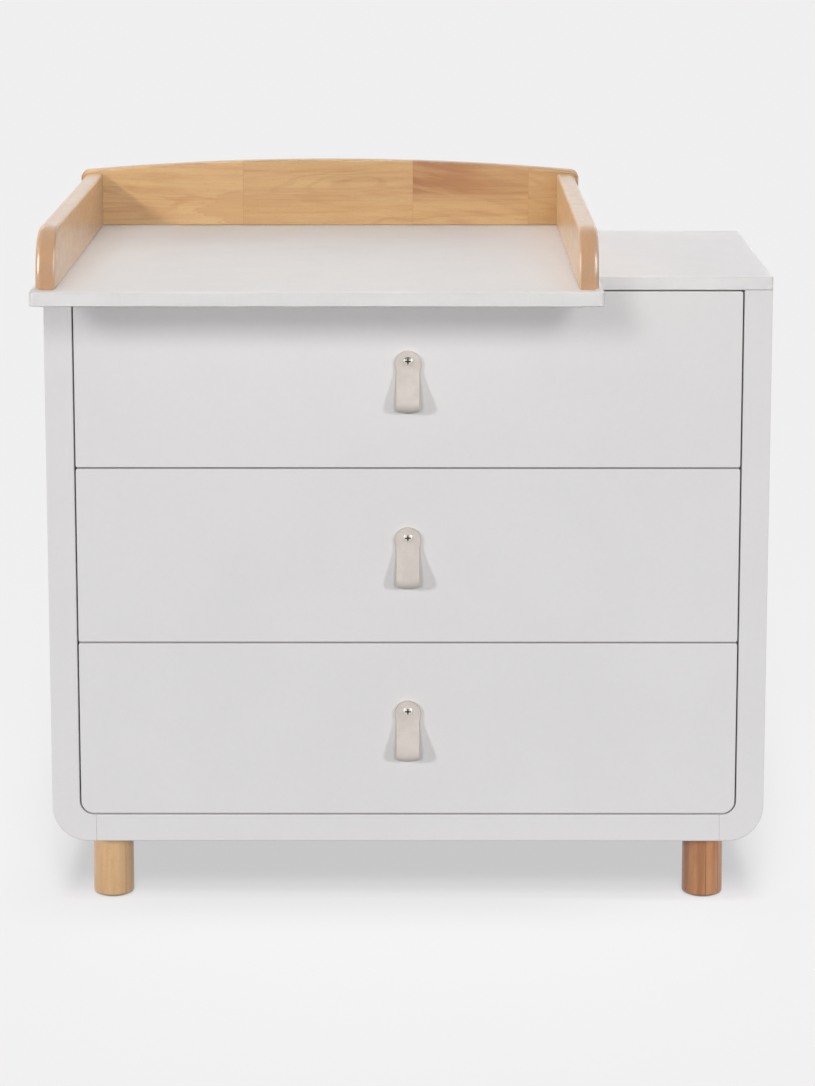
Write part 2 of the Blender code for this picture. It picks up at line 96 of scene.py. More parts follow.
STRAP = 0.0026          # leather thickness
STRAP_BELLY = 0.0225    # how far the fold stands off the drawer front
STRAP_STRAIGHT = 0.0215     # stretch below the strap's end that lies flat
HEAD_HALF_WIDTH = 0.0175    # of the strap's round end
NECK_HALF_WIDTH = 0.0156    # of the strap below it
NECK_DROP = 0.012       # from the round end's centre to the neck
FOLD_SAG = 0.0026       # how far the fold's middle hangs below its edges
FOLD_SAG_REACH = 0.020
CUT_EDGE = 0.0008       # rounding of the strap's cut edges
SCREW_SEAT = 0.0061     # underside of the pull screw's head, in front of the drawer front

BACK_EASE = 0.0005      # edges of the back panel
NAIL_FROM_EDGE = 0.006
NAILS_ACROSS = 8        # spaces between nails along the back panel's upper and lower edges
NAILS_UP = 6            # and along its sides

# ---------------------------------------------------------------- camera
SENSOR_WIDTH = 36.0     # millimetres
LENS_PER_SENSOR = 3.0387
CAMERA_ASIDE = 0.0047
CAMERA_HEIGHT = 1.4628
CAMERA_AWAY = 4.2946    # from the plane of the drawer fronts
CAMERA_TILT = -9.75     # degrees above level
CAMERA_TURN = -0.07     # degrees to the right
CAMERA_SHIFT = -0.15


def linked(name, data):
    """A new object for the data, in the scene."""
    obj = bpy.data.objects.new(name, data)
    bpy.context.scene.collection.objects.link(obj)
    return obj


def low_corner(node):
    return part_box(node)[0]


def high_corner(node):
    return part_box(node)[1]


FRONT_Y = low_corner("top_panel").y
FLOOR_Z = high_corner("bottom_panel").z
WALL = FLOOR_Z - low_corner("bottom_panel").z


def make_camera():
    data = bpy.data.cameras.new("camera")
    data.sensor_width = SENSOR_WIDTH
    data.lens = LENS_PER_SENSOR * SENSOR_WIDTH
    data.shift_y = CAMERA_SHIFT
    data.clip_start = 0.1
    data.clip_end = 200.0
    camera = linked("camera", data)
    camera.location = (CAMERA_ASIDE, FRONT_Y - CAMERA_AWAY, CAMERA_HEIGHT)
    camera.rotation_euler = (radians(90 + CAMERA_TILT), 0, radians(-CAMERA_TURN))
    bpy.context.scene.camera = camera


make_camera()


# ---------------------------------------------------------------- node shorthand
class Look:
    """One material and the shorthand for building its nodes."""

    def __init__(self, name):
        self.material = bpy.data.materials.new(name)
        self.material.use_nodes = True
        self.tree = self.material.node_tree
        self.shader = self.tree.nodes["Principled BSDF"]
        self.place = self.new("ShaderNodeTexCoord").outputs["Object"]

    def new(self, kind, **settings):
        node = self.tree.nodes.new(kind)
        for key, value in settings.items():
            setattr(node, key, value)
        return node

    def feed(self, socket, value):
        """Links an output to the socket, or sets the socket's own value."""
        if isinstance(value, bpy.types.NodeSocket):
            self.tree.links.new(value, socket)
        elif isinstance(value, tuple) and len(value) == 3 and socket.type == "RGBA":
            socket.default_value = (*value, 1.0)
        else:
            socket.default_value = value

    def set(self, **inputs):
        """Sets the shader's inputs; Base_Color stands for Base Color."""
        for key, value in inputs.items():
            self.feed(self.shader.inputs[key.replace("_", " ")], value)

    def math(self, operation, a, b=0.0, c=0.0, clamp=False):
        node = self.new("ShaderNodeMath", operation=operation, use_clamp=clamp)
        for socket, value in zip(node.inputs, (a, b, c)):
            self.feed(socket, value)
        return node.outputs[0]

    def vector(self, operation, a, b):
        node = self.new("ShaderNodeVectorMath", operation=operation)
        self.feed(node.inputs[0], a)
        self.feed(node.inputs[1], b)
        return node.outputs[0]

    def split(self, vector):
        node = self.new("ShaderNodeSeparateXYZ")
        self.feed(node.inputs[0], vector)
        return node.outputs

    def join(self, x, y, z):
        node = self.new("ShaderNodeCombineXYZ")
        for socket, value in zip(node.inputs, (x, y, z)):
            self.feed(socket, value)
        return node.outputs[0]

    def noise(self, place, scale=1.0, detail=3.0, roughness=0.55, distortion=0.0):
        node = self.new("ShaderNodeTexNoise")
        self.feed(node.inputs["Vector"], place)
        self.feed(node.inputs["Scale"], scale)
        self.feed(node.inputs["Detail"], detail)
        self.feed(node.inputs["Roughness"], roughness)
        self.feed(node.inputs["Distortion"], distortion)
        return node.outputs["Fac"]

    def cells(self, place, scale, feature="F1", output="Distance"):
        node = self.new("ShaderNodeTexVoronoi", feature=feature)
        self.feed(node.inputs["Vector"], place)
        self.feed(node.inputs["Scale"], scale)
        return node.outputs[output]

    def scatter(self, vector):
        """A random colour that is the same wherever the vector is the same."""
        node = self.new("ShaderNodeTexWhiteNoise", noise_dimensions="3D")
        self.feed(node.inputs["Vector"], vector)
        return node.outputs["Color"]

    def remap(self, value, low, high, to_low=0.0, to_high=1.0, smooth=True):
        node = self.new("ShaderNodeMapRange", interpolation_type="SMOOTHSTEP" if smooth else "LINEAR")
        for socket, item in zip(node.inputs, (value, low, high, to_low, to_high)):
            self.feed(socket, item)
        return node.outputs[0]

    def blend(self, factor, a, b, mode="MIX"):
        node = self.new("ShaderNodeMix", data_type="RGBA", blend_type=mode)
        self.feed(node.inputs[0], factor)
        self.feed(node.inputs[6], a)
        self.feed(node.inputs[7], b)
        return node.outputs[2]

    def bump(self, height, distance):
        node = self.new("ShaderNodeBump")
        self.feed(node.inputs["Distance"], distance)
        self.feed(node.inputs["Height"], height)
        return node.outputs["Normal"]

    def facing(self, axis):
        """How far the surface looks along the axis (0, 1 or 2), either way."""
        normal = self.new("ShaderNodeTexCoord").outputs["Normal"]
        return self.math("ABSOLUTE", self.split(normal)[axis])


def scaled(colour, factor):
    return tuple(factor * c for c in colour)


# ---------------------------------------------------------------- materials
def lacquer_look(name, colour, roughness):
    """Satin lacquer on board: faint spray texture, uneven sheen and a trace of tone variation."""
    look = Look(name)
    tone = look.remap(look.noise(look.place, 5.0, 2.0), 0.3, 0.7, -0.012, 0.012)
    dust = look.remap(look.noise(look.place, 140.0, 4.0), 0.3, 0.7, -0.006, 0.006)
    shade = look.math("ADD", look.math("ADD", tone, dust), 1.0)
    look.set(Base_Color=look.blend(1.0, colour, look.join(shade, shade, shade), "MULTIPLY"))
    sheen = look.noise(look.place, 22.0, 5.0, 0.6)
    look.set(Roughness=look.remap(sheen, 0.3, 0.7, roughness - 0.04, roughness + 0.05))
    coarse = look.noise(look.place, 420.0, 2.0)
    fine = look.noise(look.place, 1500.0, 2.0)
    height = look.math("MULTIPLY_ADD", fine, 0.35, coarse)
    look.set(Normal=look.bump(height, 0.00003))
    look.shader.inputs["Specular IOR Level"].default_value = 0.25
    return look


def foil_look(name, colour):
    """White foil on drawer board, embossed with a fine grain along the board."""
    look = Look(name)
    along = look.vector("MULTIPLY", look.place, (260.0, 14.0, 260.0))
    grain = look.noise(along, 1.0, 4.0, 0.6)
    lines = look.remap(grain, 0.42, 0.62)
    tone = look.blend(lines, scaled(colour, 0.97), colour)
    look.set(Base_Color=look.blend(look.remap(look.noise(look.place, 7.0), 0.3, 0.7), tone, colour))
    look.set(Roughness=look.remap(grain, 0.3, 0.7, 0.5, 0.62))
    look.set(Normal=look.bump(grain, 0.00008))
    return look


def wood_grain(look, along, across, thick, light, dark, contrast, seed):
    """Colour and relief of planed wood: rings, streaks, wisps, fibres and pores.

    along, across and thick are metres in the plank."""
    plank = look.vector("ADD", look.join(along, across, thick), seed)
    drift = look.noise(look.vector("MULTIPLY", plank, (3.4, 13.0, 13.0)), 1.0, 3.0, 0.5)
    ring_place = look.math("MULTIPLY_ADD", look.math("SUBTRACT", drift, 0.5), 0.16, across)
    ring_place = look.math("MULTIPLY_ADD", thick, 0.6, ring_place)
    rings = look.math("SINE", look.math("MULTIPLY", ring_place, 430.0))
    ring_line = look.math("POWER", look.remap(rings, -0.4, 1.0), 2.5)
    ring_fade = look.noise(look.vector("MULTIPLY", plank, (5.0, 34.0, 34.0)), 1.0, 2.0)
    streak = look.noise(look.vector("MULTIPLY", plank, (4.5, 95.0, 95.0)), 1.0, 4.0, 0.66, 0.5)
    wisp = look.noise(look.vector("MULTIPLY", plank, (9.0, 330.0, 330.0)), 1.0, 3.0, 0.6, 0.3)
    fibre = look.noise(look.vector("MULTIPLY", plank, (38.0, 1500.0, 1500.0)), 1.0, 3.0, 0.6)
    pore_field = look.noise(look.vector("MULTIPLY", plank, (120.0, 2400.0, 2400.0)), 1.0, 1.0)
    pores = look.remap(pore_field, 0.64, 0.72)
    cloud = look.noise(look.vector("MULTIPLY", plank, (7.0, 22.0, 22.0)), 1.0, 2.0)
    depth = look.math("MULTIPLY", look.remap(streak, 0.34, 0.70), 0.34)
    depth = look.math("MULTIPLY_ADD", look.remap(cloud, 0.32, 0.68), 0.20, depth)
    depth = look.math("MULTIPLY_ADD", look.remap(wisp, 0.52, 0.70), 0.22, depth)
    lines = look.math("MULTIPLY", ring_line, look.remap(ring_fade, 0.42, 0.66, 0.03, 0.26))
    depth = look.math("ADD", depth, lines)
    depth = look.math("MULTIPLY_ADD", look.remap(fibre, 0.3, 0.7, -0.5, 0.5), 0.12, depth)
    depth = look.math("MULTIPLY", depth, contrast, clamp=True)
    colour = look.blend(depth, light, dark)
    colour = look.blend(look.math("MULTIPLY", pores, 0.4), colour, scaled(dark, 0.45))
    relief = look.math("MULTIPLY_ADD", fibre, 0.5, look.math("MULTIPLY", pores, -0.8))
    return colour, relief


def end_grain(look, axis, colour, tone):
    """Darkens the surfaces that cut the fibres, which run along the axis, square."""
    speckle = look.noise(look.vector("MULTIPLY", look.place, (900.0, 900.0, 900.0)), 1.0, 3.0)
    cut_square = look.remap(look.facing(axis), 0.08, 0.5)
    ends = look.math("MULTIPLY", cut_square, look.remap(speckle, 0.3, 0.7, 0.72, 1.0))
    return look.blend(ends, colour, tone)


def clear_coat(look, roughness, coat=1.0):
    look.shader.inputs["Coat Weight"].default_value = coat
    look.shader.inputs["Coat Roughness"].default_value = 0.24
    look.shader.inputs["Coat IOR"].default_value = 1.55
    tone = look.noise(look.place, 60.0, 3.0)
    look.set(Roughness=look.remap(tone, 0.3, 0.7, roughness - 0.05, roughness + 0.06))


HONEY = (0.580, 0.374, 0.173)
TAN = (0.42, 0.220, 0.080)
FIGURE = (0.47, 0.270, 0.110)
BROWN = (0.31, 0.120, 0.036)
END_TONE = (0.41, 0.220, 0.103)
RAIL_LIGHT = (0.59, 0.375, 0.204)
RAIL_DARK = (0.48, 0.268, 0.126)
LEG_LIGHT = ((0.72, 0.460, 0.240), (0.52, 0.280, 0.120))
LEG_BROWN = ((0.56, 0.265, 0.115), (0.30, 0.113, 0.042))


def stave_colour(look, run, rise):
    """Each stave's own grain and tone. The tone deepens from left to right."""
    x, y, z = look.split(look.place)
    stave = 0.0
    for joint in STAVE_JOINTS:
        stave = look.math("ADD", look.math("GREATER_THAN", run, joint), stave)
    row = look.math("GREATER_THAN", rise, STAVE_ROWS)
    chance = look.split(look.scatter(look.join(stave, row, 3.0)))[0]
    seed = look.vector("MULTIPLY", look.scatter(look.join(stave, row, 8.0)), (9.0, 5.0, 5.0))
    plain, relief = wood_grain(look, x, z, y, HONEY, TAN, 1.15, seed)
    level = look.remap(chance, 0.0, 1.0, 0.95, 1.0, smooth=False)
    shade = look.math("MULTIPLY_ADD", stave, -0.055, level)
    shades = look.join(shade, look.math("POWER", shade, 1.35), look.math("MULTIPLY", shade, shade))
    return look.blend(1.0, plain, shades, "MULTIPLY"), relief


def add_heartwood(look, colour, run, rise, start, end):
    """Heartwood between two joints, strongest in the upper row, running out in slanting streaks."""
    inside = look.math("MULTIPLY", look.math("GREATER_THAN", run, start), look.math("LESS_THAN", run, end))
    slant = look.math("MULTIPLY_ADD", run, 1.35, rise)
    place = look.join(look.math("MULTIPLY", run, 7.0), look.math("MULTIPLY", slant, 6.5), 4.1)
    streaks = look.noise(place, 1.0, 4.0, 0.6)
    strength = look.remap(look.math("SUBTRACT", run, start), 0.0, 0.22, 1.0, 0.35)
    upper = look.math("MULTIPLY", look.math("MULTIPLY", inside, look.remap(rise, 0.40, 0.52)), strength)
    upper = look.math("MULTIPLY", upper, look.remap(streaks, 0.34, 0.58, 0.35, 1.0))
    lower = look.math("MULTIPLY", inside, look.remap(streaks, 0.45, 0.7, 0.0, 0.35))
    return look.blend(look.math("MAXIMUM", upper, lower), colour, BROWN)


def add_figure(look, colour, run, rise, joint):
    """A feathered figure low down, ending at the joint, with a darker rim."""
    ragged = look.noise(look.vector("MULTIPLY", look.place, (26.0, 26.0, 60.0)), 1.0, 5.0, 0.72, 0.8)
    tip = look.math("MULTIPLY", look.math("ABSOLUTE", look.math("SUBTRACT", rise, 0.24)), 0.36)
    start = look.math("MULTIPLY_ADD", ragged, 0.20, joint - 0.205)
    reach = look.math("SUBTRACT", run, look.math("ADD", start, tip))
    before_joint = look.math("LESS_THAN", run, joint)
    inside = look.math("MULTIPLY", before_joint, look.remap(rise, 0.45, 0.49, 1.0, 0.0))
    figure = look.math("MULTIPLY", look.remap(reach, 0.0, 0.004), inside)
    rim = look.math("MULTIPLY", look.remap(look.math("ABSOLUTE", reach), 0.0, 0.006, 1.0, 0.0), figure)
    colour = look.blend(look.math("MULTIPLY", figure, 0.6), colour, FIGURE)
    return look.blend(look.math("MULTIPLY", rim, 0.7), colour, BROWN)


def glue_lines(look, run, rise):
    """How much of a glue line is at a place: thin ones at the joints, a soft one between the rows."""
    seam = 0.0
    for joint in STAVE_JOINTS:
        near = look.math("ABSOLUTE", look.math("SUBTRACT", run, joint))
        seam = look.math("MAXIMUM", look.remap(near, 0.0002, 0.0009, 1.0, 0.0), seam)
    near = look.math("ABSOLUTE", look.math("SUBTRACT", rise, STAVE_ROWS))
    return look.math("MAXIMUM", look.remap(near, 0.001, 0.006, 0.5, 0.0), seam)


def stave_rail_look(name, low, high):
    """The back rail: staves glued end to end and in two rows, each cut from its own tree."""
    look = Look(name)
    x, _, z = look.split(look.place)
    run = look.math("DIVIDE", look.math("SUBTRACT", x, low.x), high.x - low.x)
    rise = look.math("DIVIDE", look.math("SUBTRACT", z, low.z), high.z - low.z)
    colour, relief = stave_colour(look, run, rise)
    colour = add_heartwood(look, colour, run, rise, STAVE_JOINTS[1], STAVE_JOINTS[2])
    colour = add_figure(look, colour, run, rise, STAVE_JOINTS[0])
    seam = glue_lines(look, run, rise)
    colour = look.blend(look.math("MULTIPLY", seam, 0.35), colour, BROWN)
    look.set(Base_Color=end_grain(look, 0, colour, END_TONE))
    clear_coat(look, 0.42)
    look.set(Normal=look.bump(look.math("MULTIPLY_ADD", seam, -1.0, relief), 0.00005))
    return look


def side_rail_look(name, seed):
    """A side rail of one stave, its fibres along Y."""
    look = Look(name)
    x, y, z = look.split(look.place)
    colour, relief = wood_grain(look, y, z, x, RAIL_LIGHT, RAIL_DARK, 0.85, seed)
    look.set(Base_Color=end_grain(look, 1, colour, END_TONE))
    clear_coat(look, 0.40)
    look.set(Normal=look.bump(relief, 0.00004))
    return look


def leg_look(name, light, dark, contrast, stripes, seed):
    """A turned leg cut from one piece, so its rings run up it as stripes and arches."""
    look = Look(name)
    x, y, z = look.split(look.place)
    colour, relief = wood_grain(look, z, x, y, light, dark, contrast, seed)
    upright = look.vector("ADD", look.vector("MULTIPLY", look.place, (75.0, 75.0, 2.5)), seed)
    stripe = look.noise(upright, 1.0, 2.0, 0.5, 0.3)
    colour = look.blend(look.remap(stripe, 0.46, 0.60, 0.0, stripes), colour, dark)
    line = look.noise(look.vector("MULTIPLY", upright, (3.0, 3.0, 1.0)), 1.0, 1.0)
    colour = look.blend(look.remap(line, 0.60, 0.68, 0.0, stripes), colour, scaled(dark, 0.6))
    look.set(Base_Color=end_grain(look, 2, colour, scaled(dark, 0.7)))
    clear_coat(look, 0.45, 0.7)
    look.set(Normal=look.bump(relief, 0.00005))
    return look


def leather_look(name, colour, edge=False):
    """Pale finished leather; its cut edges are a little darker, partly the raw edge's own colour and partly
    painted shade along the outline, and fibrous.
    """
    look = Look(name)
    patch = look.noise(look.place, 55.0, 3.0)
    tone = look.blend(look.remap(patch, 0.3, 0.7), scaled(colour, 0.93), scaled(colour, 1.03))
    pebble = look.cells(look.place, 1500.0, "SMOOTH_F1")
    crease = look.noise(look.place, 900.0, 4.0, 0.6)
    height = look.math("MULTIPLY_ADD", crease, 0.6, look.math("MULTIPLY", pebble, -1.0))
    look.set(Base_Color=look.blend(look.remap(pebble, 0.35, 0.75, 0.0, 0.22), tone, scaled(colour, 0.7)))
    look.set(Roughness=look.remap(crease, 0.3, 0.7, 0.52, 0.68))
    look.set(Normal=look.bump(height, 0.00012 if edge else 0.00007))
    look.shader.inputs["Sheen Weight"].default_value = 0.15
    look.shader.inputs["Sheen Roughness"].default_value = 0.5
    return look


def metal_look(name, colour, roughness, brushed=(1.0, 1.0, 1.0), spangle=0.0):
    """Metal with fine scratches, drawn out along an axis where it is brushed, and zinc's spangle."""
    look = Look(name)
    place = look.vector("MULTIPLY", look.place, brushed)
    scratch = look.noise(place, 900.0, 3.0, 0.6)
    tone = look.blend(look.remap(scratch, 0.3, 0.7), scaled(colour, 0.9), colour)
    if spangle:
        flake = look.split(look.cells(look.place, 260.0, output="Color"))[0]
        share = look.remap(flake, 0.0, 1.0, 0.0, spangle, smooth=False)
        tone = look.blend(share, tone, scaled(colour, 0.7))
    look.set(Base_Color=tone, Roughness=look.remap(scratch, 0.3, 0.7, roughness - 0.06, roughness + 0.08))
    look.set(Normal=look.bump(scratch, 0.00001))
    look.shader.inputs["Metallic"].default_value = 1.0
    return look


def felt_look(name):
    """Matted grey hair."""
    look = Look(name)
    hair = look.noise(look.place, 2600.0, 4.0, 0.7, 1.5)
    look.set(Base_Color=look.blend(hair, (0.12, 0.115, 0.11), (0.30, 0.29, 0.27)))
    look.set(Roughness=look.remap(hair, 0.2, 0.8, 0.85, 1.0))
    look.set(Normal=look.bump(hair, 0.0003))
    return look


def hardboard_look(name):
    """Thin back board with a white-printed face: faint pressed fibres and a mottled tone."""
    look = Look(name)
    fibre = look.noise(look.vector("MULTIPLY", look.place, (190.0, 190.0, 60.0)), 1.0, 5.0, 0.65, 0.6)
    mottle = look.noise(look.place, 9.0, 3.0)
    tone = look.blend(look.remap(mottle, 0.3, 0.7), (0.755, 0.745, 0.73), (0.785, 0.775, 0.76))
    look.set(Base_Color=look.blend(look.remap(fibre, 0.5, 0.8, 0.0, 0.2), tone, (0.62, 0.60, 0.57)))
    look.set(Roughness=look.remap(fibre, 0.3, 0.7, 0.55, 0.75))
    look.set(Normal=look.bump(fibre, 0.00012))
    return look


WHITE = lacquer_look("white_lacquer_look", (0.785, 0.772, 0.772), 0.47)
BOARD_WHITE = lacquer_look("board_lacquer_look", (0.80, 0.785, 0.775), 0.42)
FOIL = foil_look("drawer_foil_look", (0.80, 0.79, 0.775))
HARDBOARD = hardboard_look("back_board_look")
LEATHER = leather_look("pale_leather_look", (0.695, 0.632, 0.585))
# Cut edges: a darker, browner raw-edge colour, darkened partly as painted shade along the strap's outline.
LEATHER_EDGE_AND_SHADE = leather_look("leather_edge_and_shade_look", (0.62, 0.54, 0.46), edge=True)
NICKEL = metal_look("nickel_look", (0.70, 0.66, 0.61), 0.28)
# The screws' cross recesses: near-black metal, painted shade for the dark inside each recess.
RECESS_PAINTED_SHADE = metal_look("recess_painted_shade_look", (0.055, 0.05, 0.045), 0.55)
ZINC = metal_look("zinc_look", (0.66, 0.67, 0.68), 0.34, (1.0, 0.05, 1.0), 0.35)
FELT = felt_look("felt_look")


# ---------------------------------------------------------------- mesh building
def arc(centre, radius, start, end, steps):
    """Points along a circular arc, angles in degrees, both ends included."""
    turns = [radians(start + (end - start) * i / steps) for i in range(steps + 1)]
    return [(centre[0] + radius * cos(t), centre[1] + radius * sin(t)) for t in turns]


def rectangle(left, right, low, high, radii, held=(), steps=10):
    """A function of inset that gives the rounded outline drawn in by that much.

    radii run from the lower left corner anticlockwise; sides at a joint are held almost in place."""
    def outline(inset):
        sides = ("left", "right", "low", "high")
        move = {side: inset * (SEAM_EASE if side in held else 1.0) for side in sides}
        x0, x1 = left + move["left"], right - move["right"]
        z0, z1 = low + move["low"], high - move["high"]
        points = []
        corners = ((x0, z0, 1, 1, 180), (x1, z0, -1, 1, 270), (x1, z1, -1, -1, 0), (x0, z1, 1, -1, 90))
        for (x, z, sx, sz, start), radius in zip(corners, radii):
            if radius:
                r = radius - inset
                points += arc((x + sx * r, z + sz * r), r, start, start + 90, steps)
            else:
                points.append((x, z))
        return points
    return outline


TO_WORLD = {
    "X": lambda a, b, d: (d, a, b),
    "Y": lambda a, b, d: (a, d, b),
    "Z": lambda a, b, d: (a, b, d),
}


def mesh_from_rings(name, rings, looks, pick_look=None):
    """Skins equal rings of points into a closed mesh and makes it a smooth-shaded object."""
    made = bmesh.new()
    rows = [[made.verts.new(point) for point in ring] for ring in rings]
    count = len(rows[0])
    for k, (row, following) in enumerate(zip(rows, rows[1:])):
        for i in range(count):
            j = (i + 1) % count
            face = made.faces.new((row[i], row[j], following[j], following[i]))
            if pick_look:
                face.material_index = pick_look(k, i)
    made.faces.new(rows[0][::-1])
    made.faces.new(rows[-1])
    bmesh.ops.recalc_face_normals(made, faces=made.faces)
    mesh = bpy.data.meshes.new(name)
    made.to_mesh(mesh)
    made.free()
    return add_object(name, mesh, looks)


def add_object(name, mesh, looks):
    obj = linked(name, mesh)
    for look in looks:
        mesh.materials.append(look.material)
    mesh.shade_smooth()
    mesh.set_sharp_from_angle(angle=radians(SHARP))
    weighted = obj.modifiers.new("weighted_normals", "WEIGHTED_NORMAL")
    weighted.keep_sharp = True
    return obj


def rounded_prism(name, outline, axis, low, high, eases, look, steps=4):
    """An outline pushed along an axis, its low and high end faces eased over into the sides."""
    place = TO_WORLD[axis]
    turns = [radians(90 * k / steps) for k in range(steps + 1)]
    rings = []
    for ease, end, inward in zip(eases, (low, high), (1, -1)):
        levels = [(ease * (1 - sin(t)), end + inward * ease * (1 - cos(t))) for t in turns[::inward]]
        rings += [[place(a, b, level) for a, b in outline(inset)] for inset, level in levels]
    return mesh_from_rings(name, rings, [look])


def turned(name, profile, placing, look, sides):
    """A profile of (radius, height) points turned about +Z, then put in place by a matrix."""
    turns = [2 * pi * i / sides for i in range(sides)]
    rings = [[placing @ Vector((radius * cos(t), radius * sin(t), height)) for t in turns]
             for radius, height in profile]
    return mesh_from_rings(name, rings, [look])


def settle(obj, body, slot, *nodes):
    """Puts a piece on its body and hides the CAD nodes it stands for. slot is not used."""
    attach(obj, body)
    if nodes:
        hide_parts(*nodes)


def dress(node, look, ease=0.0):
    """A CAD node whose shape is right keeps it, with a better material and softened edges."""
    obj = frame["nodes"][node]
    obj.data.materials.clear()
    obj.data.materials.append(look.material)
    if ease:
        bevel = obj.modifiers.new("ease", "BEVEL")
        bevel.width = ease
        bevel.segments = 3
        bevel.limit_method = "ANGLE"
        bevel.angle_limit = radians(40)
        bevel.harden_normals = True


# ---------------------------------------------------------------- carcass
def side_outline(low, high, side):
    """Front view of a side panel: the wall and its curved foot. Joint faces stay put, or nearly."""
    outer = max(abs(low.x), abs(high.x))
    seam = min(abs(low.x), abs(high.x))
    inner = outer - WALL
    base, top = low.z, high.z

    def outline(inset):
        points = [(outer - inset, top), (inner + inset, top)]
        centre = (inner - INNER_CORNER, FLOOR_Z + INNER_CORNER)
        points += arc(centre, INNER_CORNER + inset, 0, -90, 16)
        joint = seam + SEAM_EASE * inset
        points += [(joint, FLOOR_Z - inset), (joint, base + inset)]
        centre = (outer - OUTER_CORNER, base + OUTER_CORNER)
        points += arc(centre, OUTER_CORNER - inset, -90, 0, 28)
        return [(side * x, z) for x, z in points]
    return outline


def make_carcass():
    """The top, two sides with their curved feet, and the bottom between these."""
    low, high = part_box("top_panel")
    outline = rectangle(low.x, high.x, low.z, high.z, (0, 0, TOP_CORNER, TOP_CORNER), held=("low",), steps=5)
    top = rounded_prism("chest_top", outline, "Y", low.y, high.y, (EASE, EASE), WHITE)
    settle(top, "chest", "white_lacquer", "top_panel")
    for word, side in SIDES:
        low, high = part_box(word + "_side_panel")
        outline = side_outline(low, high, side)
        panel = rounded_prism("chest_side_" + word, outline, "Y", low.y, high.y, (EASE, EASE), WHITE)
        settle(panel, "chest", "white_lacquer", word + "_side_panel")
    low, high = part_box("bottom_panel")
    outline = rectangle(low.x, high.x, low.z, high.z, (0, 0, 0, 0), held=("left", "right"))
    bottom = rounded_prism("chest_bottom", outline, "Y", low.y, high.y, (EASE, EASE), WHITE)
    settle(bottom, "chest", "white_lacquer", "bottom_panel")


def make_legs():
    """Four turned legs, each cut from its own piece of wood, with felt glides under them."""
    looks = {
        "front_left": leg_look("leg_wood_look_a", *LEG_LIGHT, 0.9, 0.25, (0.31, 0.11, 0.42)),
        "front_right": leg_look("leg_wood_look_b", *LEG_BROWN, 1.1, 0.75, (1.72, 0.37, 0.05)),
        "rear_left": leg_look("leg_wood_look_c", *LEG_LIGHT, 0.9, 0.3, (2.13, 0.71, 0.93)),
        "rear_right": leg_look("leg_wood_look_d", *LEG_LIGHT, 1.0, 0.4, (4.07, 0.23, 0.61)),
    }
    for word, look in looks.items():
        low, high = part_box(word + "_leg")
        centre = Matrix.Translation(((low.x + high.x) / 2, (low.y + high.y) / 2, 0))
        radius = (high.x - low.x) / 2
        profile = [(0.001, low.z)]
        profile += [(radius - LEG_EASE + r, low.z + LEG_EASE + z)
                    for r, z in arc((0, 0), LEG_EASE, -90, 0, 7)]
        profile += [(radius, low.z + (high.z - low.z) * k / 6) for k in range(1, 6)]
        profile += [(radius, high.z), (0.001, high.z)]
        leg = turned(word + "_leg_turned", profile, centre, look, 96)
        settle(leg, "chest", "leg_wood", word + "_leg")
        dress(word + "_glide", FELT)


# ---------------------------------------------------------------- drawers
def make_fronts():
    """Three lacquered fronts. The bottom one's lower corners follow the carcass's inner corners."""
    for word in DRAWERS:
        low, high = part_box(word + "_drawer_front")
        small = FRONT_CORNER
        large = INNER_CORNER - (low.z - FLOOR_Z) if word == "bottom" else small
        outline = rectangle(low.x, high.x, low.z, high.z, (large, large, small, small), steps=12)
        eases = (FRONT_EASE, FRONT_EASE)
        front = rounded_prism(word + "_front_lacquered", outline, "Y", low.y, high.y, eases, WHITE)
        settle(front, word + "_drawer", "white_lacquer", word + "_drawer_front")


def bezier(a, b, c, d, t):
    """The point at t, from 0 to 1, on the curve from a to d with handles b and c."""
    s = 1 - t
    return a * s ** 3 + b * (3 * s * s * t) + c * (3 * s * t * t) + d * t ** 3


def strap_path(head, drop):
    """Side view of the folded strap's middle line, as (depth in front of the drawer, height from the screw).

    It goes down the front layer, round the fold and up the back layer."""
    back, front = FIT + STRAP / 2, FIT + 1.5 * STRAP
    belly = STRAP_BELLY - STRAP / 2
    front_end, back_end = Vector((front, head)), Vector((back, head))
    leaves = Vector((front, head - STRAP_STRAIGHT))
    widest = Vector((belly, 0.0118 - drop))
    lowest = Vector((belly / 2 + 0.0006, STRAP / 2 - drop))
    lands = Vector((back, 0.0112 - drop))
    # each bend: its start, its two handles and its end
    bends = (
        (leaves, Vector((0, -0.017)), Vector((0, 0.0095)), widest),
        (widest, Vector((0, -0.0056)), Vector((0.0056, 0)), lowest),
        (lowest, Vector((-0.0052, 0)), Vector((0, -0.0052)), lands),
    )
    points = [front_end.lerp(leaves, i / 40) for i in range(40)]
    for a, after_a, before_d, d in bends:
        points += [bezier(a, a + after_a, d + before_d, d, i / 26) for i in range(26)]
    points += [lands.lerp(back_end, i / 40) for i in range(40)]
    points.append(back_end)
    return points


def strap_half_width(height, head):
    """Half the strap's width: round at its end, then drawn in to the neck."""
    centre = head - HEAD_HALF_WIDTH
    if height > centre:
        rise = min(height - centre, HEAD_HALF_WIDTH)
        return sqrt(max(HEAD_HALF_WIDTH ** 2 - rise ** 2, 0.0))
    t = min((centre - height) / NECK_DROP, 1.0)
    t = t * t * (3 - 2 * t)
    return HEAD_HALF_WIDTH + (NECK_HALF_WIDTH - HEAD_HALF_WIDTH) * t


